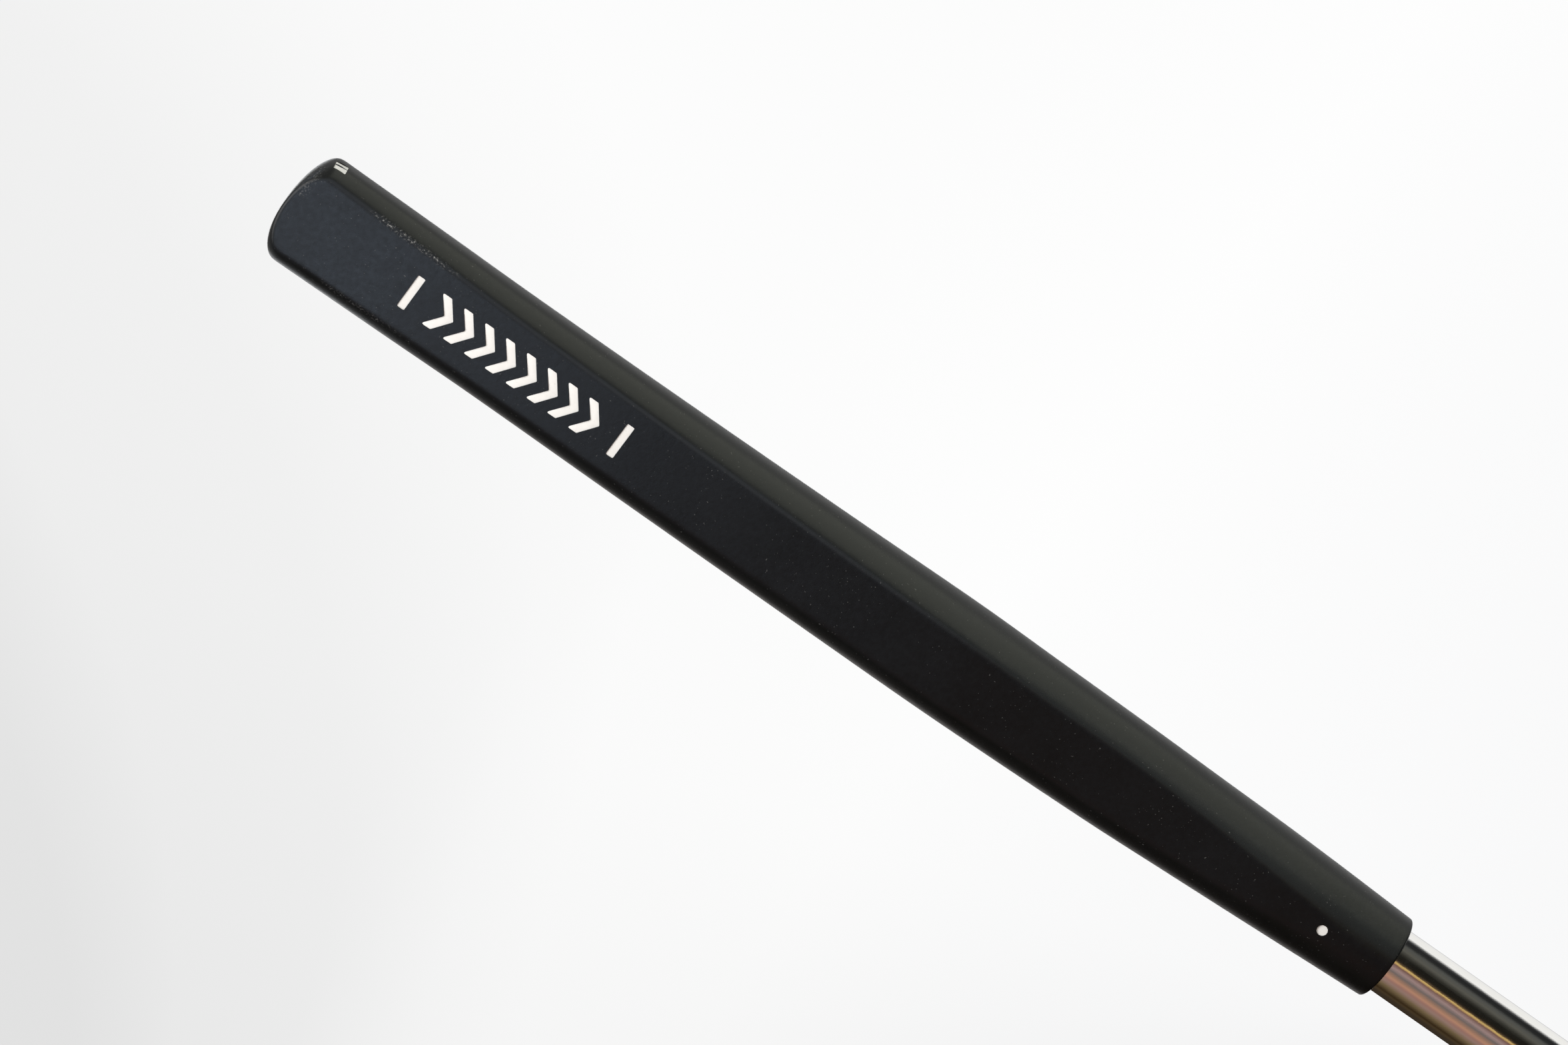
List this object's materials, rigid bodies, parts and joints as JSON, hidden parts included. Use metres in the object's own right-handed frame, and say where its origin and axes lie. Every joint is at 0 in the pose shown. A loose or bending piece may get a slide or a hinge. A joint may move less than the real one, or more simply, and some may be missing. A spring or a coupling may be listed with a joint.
{
  "type": "golf putter grip",
  "caption": "Flat-front rubber putter grip with a domed vented butt, white recessed chevrons and a short chromed steel shaft end.",
  "frame": {"origin": "centre of the shaft's open lower end, where the rest of the club's shaft begins", "axes": "+Z along the shaft towards the butt, -Y out of the grip's flat front, +X to the side"},
  "size_m": [0.025, 0.0236, 0.3283],
  "materials": {
    "shaft_chrome": "bright plated steel with light handling marks",
    "tape": "plain crepe tape",
    "rubber": "smooth matt moulded rubber",
    "cap_rubber": "smooth matt moulded rubber",
    "white_paint": "satin white paint"
  },
  "bodies": {
    "root": {"shaft": "shaft_chrome", "grip_tape": "tape", "grip_sleeve": "rubber", "butt_cap": "cap_rubber", "chevron_fill_1": "white_paint", "chevron_fill_2": "white_paint", "chevron_fill_3": "white_paint", "chevron_fill_4": "white_paint", "chevron_fill_5": "white_paint", "chevron_fill_6": "white_paint", "chevron_fill_7": "white_paint", "chevron_fill_8": "white_paint", "bar_fill_1": "white_paint", "bar_fill_2": "white_paint", "shoulder_fill_1": "white_paint", "shoulder_fill_2": "white_paint", "alignment_dot": "white_paint"}
  },
  "joints": []
}
